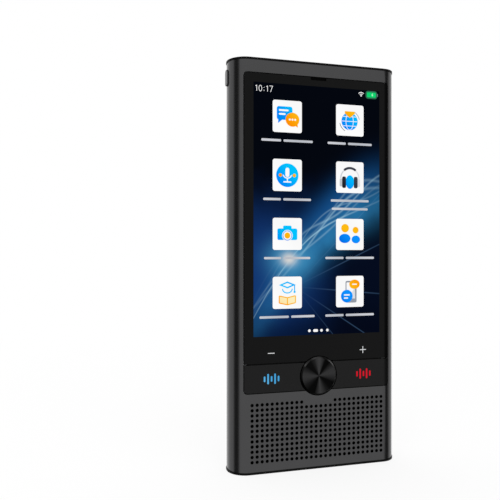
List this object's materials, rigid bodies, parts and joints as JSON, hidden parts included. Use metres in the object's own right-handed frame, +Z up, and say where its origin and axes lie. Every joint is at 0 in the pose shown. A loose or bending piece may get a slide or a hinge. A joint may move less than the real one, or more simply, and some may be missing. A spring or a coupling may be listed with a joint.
{
  "type": "handheld translator",
  "caption": "Upright handheld translator: metal sleeve with black end caps, tall display, two voice keys beside a round key, drilled loudspeaker grille and twin rear cameras.",
  "frame": {"origin": "centre of the bottom face, on the surface the translator stands on", "axes": "+X to the right seen from the front, the display faces -Y, +Z up along the long side"},
  "size_m": [0.0651, 0.0169, 0.1465],
  "materials": {
    "sleeve": "anodised dark grey, satin",
    "caps": "black, fine satin",
    "cover_glass": "black-backed cover glass, gloss",
    "bond": "adhesive frame",
    "display": "display cell, dark blue picture",
    "chassis": "plain die-cast",
    "keys": "dark grey, satin gloss",
    "blue_mark": "clear blue, lit",
    "red_mark": "clear red, lit",
    "spun_disc": "dark anodised, spun",
    "carrier": "black",
    "power_key": "anodised dark grey, satin",
    "boards": "green circuit board",
    "plated_steel": "tin plated",
    "chips": "black mould compound",
    "battery_foil": "foil pouch with a plain wrap",
    "inner_plastic": "black moulding",
    "mesh": "black acoustic mesh",
    "foam": "closed-cell foam",
    "plated_brass": "gold-plated can",
    "flex": "amber flexible circuit",
    "window": "dark grey, fine satin",
    "camera_glass": "black, gloss",
    "rings": "dark machined rings",
    "lens_glass": "coated lens",
    "camera_body": "black camera module",
    "flash_lens": "cream diffuser",
    "flash_chip": "yellow phosphor"
  },
  "bodies": {
    "housing": {"housing_sleeve": "sleeve", "top_cap": "caps", "bottom_cap": "caps", "front_glass": "cover_glass", "glass_bond": "bond", "display_panel": "display", "chassis": "chassis", "key_board": "boards", "dome_switches": "plated_steel", "side_switch": "plated_steel", "main_board": "boards", "processor": "chips", "shield_cans": "plated_steel", "battery": "battery_foil", "loudspeaker_box": "inner_plastic", "loudspeaker_driver": "inner_plastic", "speaker_mesh": "mesh", "speaker_foam": "foam", "earpiece": "inner_plastic", "earpiece_mesh": "mesh", "port_board": "boards", "charging_port": "plated_steel", "microphones": "plated_brass", "microphone_flex": "flex", "vibration_motor": "plated_steel", "board_flex": "flex", "antenna": "flex", "rear_window": "window", "camera_cover": "camera_glass", "upper_camera_ring": "rings", "lower_camera_ring": "rings", "upper_camera_lens": "lens_glass", "lower_camera_lens": "lens_glass", "upper_camera": "camera_body", "lower_camera": "camera_body", "camera_bracket": "inner_plastic", "flash_window": "flash_lens", "flash_led": "flash_chip", "board_screws": "plated_steel"},
    "left_voice_key": {"left_voice_key": "keys", "left_wave_mark": "blue_mark"},
    "right_voice_key": {"right_voice_key": "keys", "right_wave_mark": "red_mark"},
    "round_key": {"round_key_disc": "spun_disc", "round_key_carrier": "carrier"},
    "power_key": {"power_key": "power_key"}
  },
  "joints": [
    {"name": "left_voice_press", "type": "slide", "parent": "housing", "child": "left_voice_key", "axis": [0, 1, 0], "range_m": [0, 0.0003], "stiffness_N_per_m": 1200},
    {"name": "right_voice_press", "type": "slide", "parent": "housing", "child": "right_voice_key", "axis": [0, 1, 0], "range_m": [0, 0.0003], "stiffness_N_per_m": 1200},
    {"name": "round_press", "type": "slide", "parent": "housing", "child": "round_key", "axis": [0, 1, 0], "range_m": [0, 0.0003], "stiffness_N_per_m": 1200},
    {"name": "power_press", "type": "slide", "parent": "housing", "child": "power_key", "axis": [1, 0, 0], "range_m": [0, 0.0003], "stiffness_N_per_m": 1200}
  ]
}
